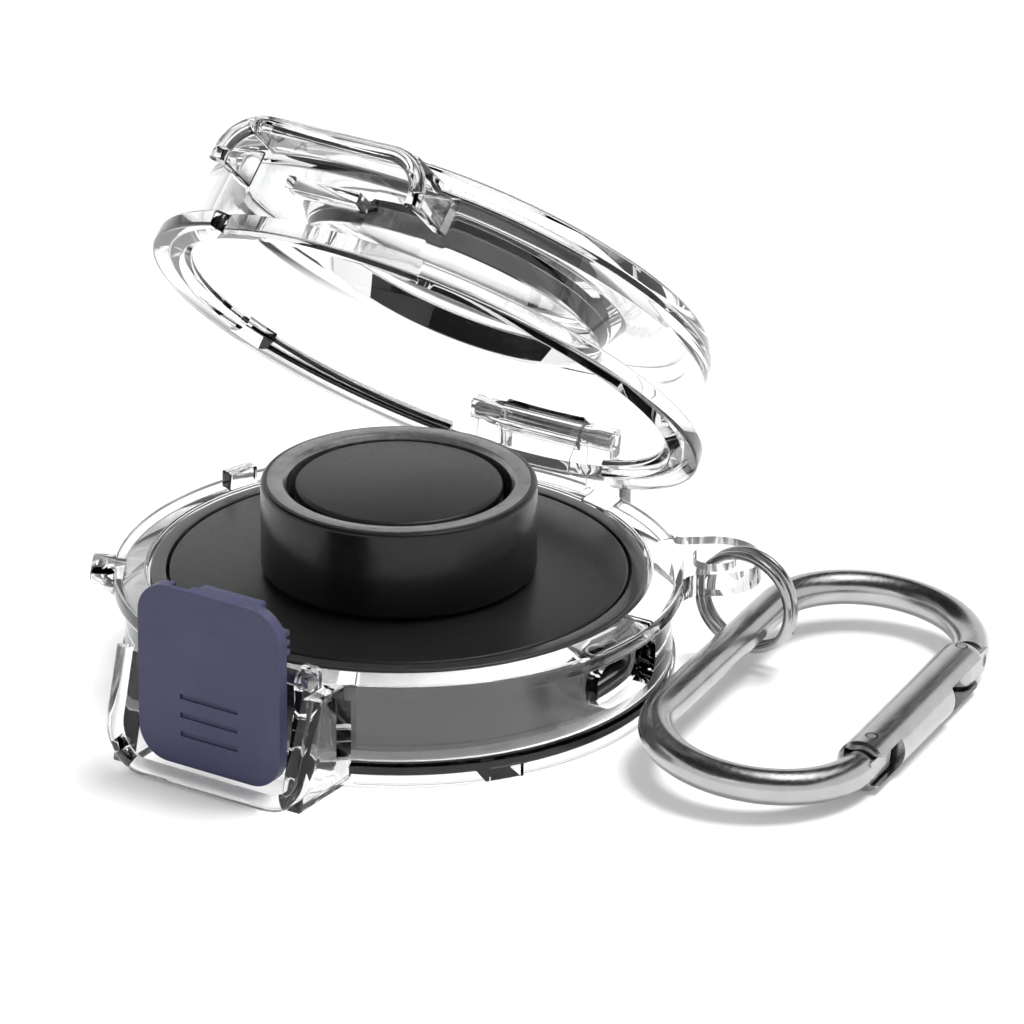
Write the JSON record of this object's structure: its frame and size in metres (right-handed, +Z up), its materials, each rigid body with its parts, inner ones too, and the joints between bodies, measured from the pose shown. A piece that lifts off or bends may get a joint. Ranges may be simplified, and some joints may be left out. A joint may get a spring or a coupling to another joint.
{
  "type": "carabiner case",
  "caption": "Round clear case on a split ring and carabiner, open at its rear hinge, with a rocker latch in front and a charging dock and smart ring inside.",
  "frame": {"origin": "centre of the round case's underside, on the surface that it stands on", "axes": "+Z up, -Y towards the latch, +Y towards the hinge, +X towards the charging port and the carabiner"},
  "size_m": [0.0847, 0.0739, 0.0618],
  "materials": {
    "clear_plastic": "clear, polished",
    "violet_plastic": "satin",
    "satin_steel": "satin",
    "spring_steel": "bright",
    "matt_black": "matt",
    "side_grey": "satin",
    "gloss_black": "gloss",
    "liner_grey": "gloss",
    "rubber": "matt",
    "board_green": "satin",
    "copper": "enamelled wire",
    "ferrite": "matt"
  },
  "bodies": {
    "base": {"lower_shell": "clear_plastic", "hinge_pin": "satin_steel", "latch_pin": "satin_steel", "latch_spring": "spring_steel", "dock_housing": "side_grey", "dock_top_plate": "matt_black", "dock_pillar": "matt_black", "pillar_cap": "matt_black", "ferrite_core": "ferrite", "charge_coil": "copper", "dock_base_cover": "matt_black", "cover_screw_1": "satin_steel", "cover_screw_2": "satin_steel", "cover_screw_3": "satin_steel", "dock_foot_pad": "rubber", "circuit_board": "board_green", "usb_socket": "satin_steel"},
    "lid": {"upper_lid": "clear_plastic"},
    "latch": {"latch_button": "violet_plastic"},
    "smart_ring": {"ring_shell": "gloss_black", "ring_liner": "liner_grey"},
    "link": {"split_ring": "satin_steel"},
    "carabiner": {"carabiner_body": "satin_steel", "gate_rivet": "satin_steel"},
    "gate": {"carabiner_gate": "satin_steel", "gate_nose_pin": "satin_steel", "gate_spring": "spring_steel"}
  },
  "joints": [
    {"name": "lid_hinge", "type": "hinge", "parent": "base", "child": "lid", "pos_m": [0, 0.0282, 0.0165], "axis": [-1, 0, 0], "range_deg": [-43.1, 60]},
    {"name": "latch_rock", "type": "hinge", "parent": "base", "child": "latch", "pos_m": [0, -0.0296, 0.0126], "axis": [1, 0, 0], "range_deg": [0, 10], "stiffness_Nm_per_rad": 0.02, "springref_deg": -5.73},
    {"name": "ring_lift", "type": "slide", "parent": "base", "child": "smart_ring", "axis": [0, 0, 1], "range_m": [0, 0.012]},
    {"name": "ring_yaw", "type": "hinge", "parent": "base", "child": "link", "pos_m": [0.02497, 0.02001, 0.0103], "axis": [0, 0, 1], "range_deg": [-3, 40]},
    {"name": "carabiner_flip", "type": "hinge", "parent": "link", "child": "carabiner", "pos_m": [0.03046, 0.01219, 0.00473], "axis": [0.1314, -0.9913, 0], "range_deg": [0, 85]},
    {"name": "gate_swing", "type": "hinge", "parent": "carabiner", "child": "gate", "pos_m": [0.04981, 0.02653, 0.0027], "axis": [-0.0951, -0.0126, -0.9954], "range_deg": [0, 25], "stiffness_Nm_per_rad": 0.03, "springref_deg": -11.46}
  ]
}
